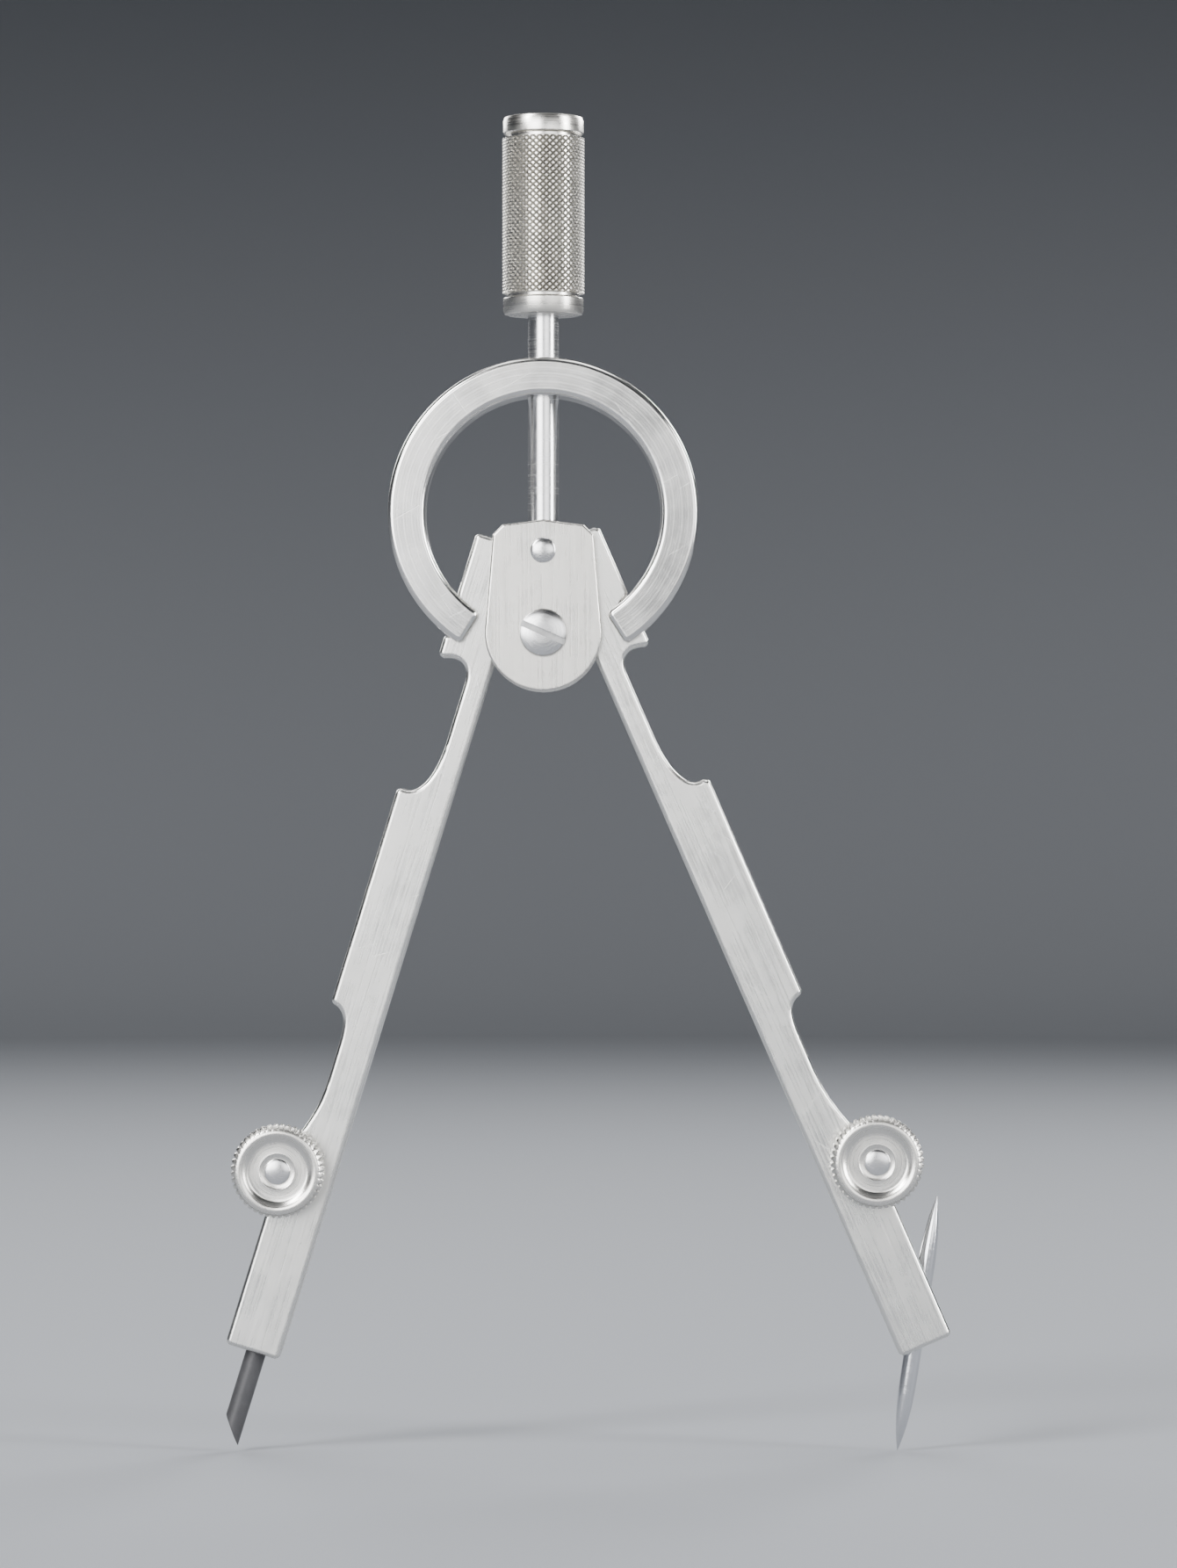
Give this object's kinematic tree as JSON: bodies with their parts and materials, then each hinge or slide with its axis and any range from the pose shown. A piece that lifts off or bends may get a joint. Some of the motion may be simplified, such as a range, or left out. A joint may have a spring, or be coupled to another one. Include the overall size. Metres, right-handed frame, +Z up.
{
  "type": "drawing compass",
  "caption": "Ring-head drawing compass with a lead leg and a needle leg, set by hand and held by the ring's squeeze.",
  "frame": {"origin": "the needle's lower point, where it stands on the paper", "axes": "+Z up along the handle, +X from the lead leg to the needle leg, and the front with the thumb screws faces -Y"},
  "size_m": [0.0707, 0.0095, 0.1302],
  "materials": {
    "satin_nickel": "satin nickel plate",
    "leg_nickel": "satin nickel plate, brushed along the leg",
    "spring_steel": "polished spring steel",
    "turned_steel": "turned steel",
    "needle_steel": "ground hardened steel",
    "brass": "turned brass",
    "graphite": "dark grey graphite lead"
  },
  "bodies": {
    "head": {"handle_grip": "satin_nickel", "handle_stem": "turned_steel", "front_cheek": "satin_nickel", "back_cheek": "satin_nickel", "fulcrum_drum": "turned_steel", "axle_screw": "turned_steel", "cheek_rivet": "turned_steel"},
    "ring": {"ring_spring": "spring_steel"},
    "needle_leg": {"needle_leg": "leg_nickel", "needle_thread_bush": "brass", "needle_clamp_washer": "turned_steel"},
    "needle_clamp": {"needle_clamp_knob": "satin_nickel", "needle_clamp_stud": "turned_steel"},
    "needle": {"needle": "needle_steel"},
    "lead_leg": {"lead_leg": "leg_nickel", "lead_thread_bush": "brass", "lead_clamp_washer": "turned_steel"},
    "lead_clamp": {"lead_clamp_knob": "satin_nickel", "lead_clamp_stud": "turned_steel"},
    "lead": {"lead": "graphite"}
  },
  "joints": [
    {"name": "needle_leg_swing", "type": "hinge", "parent": "head", "child": "needle_leg", "pos_m": [-0.03454, 0, 0.0798], "axis": [0, -1, 0], "range_deg": [-21, 8]},
    {"name": "lead_leg_swing", "type": "hinge", "parent": "head", "child": "lead_leg", "pos_m": [-0.03454, 0, 0.0798], "axis": [0, 1, 0], "range_deg": [-21, 8]},
    {"name": "ring_slide", "type": "slide", "parent": "head", "child": "ring", "axis": [0, 0, 1], "range_m": [-0.00345, 0.00132]},
    {"name": "needle_clamp_turn", "type": "hinge", "parent": "needle_leg", "child": "needle_clamp", "pos_m": [-0.0022, 0, 0.02852], "axis": [0, -1, 0], "range_deg": [0, 360]},
    {"name": "lead_clamp_turn", "type": "hinge", "parent": "lead_leg", "child": "lead_clamp", "pos_m": [-0.06021, 0, 0.02764], "axis": [0, -1, 0], "range_deg": [0, 360]},
    {"name": "needle_slide", "type": "slide", "parent": "needle_leg", "child": "needle", "axis": [-0.1547, 0, -0.988], "range_m": [-0.003, 0.003]},
    {"name": "lead_slide", "type": "slide", "parent": "lead_leg", "child": "lead", "axis": [-0.2957, 0, -0.9553], "range_m": [-0.002, 0.008]}
  ],
  "couplings": [
    {"joint": "lead_leg_swing", "follows": "needle_leg_swing", "ratio": 1},
    {"joint": "ring_slide", "follows": "needle_leg_swing", "m_per_rad": 0.00935}
  ]
}
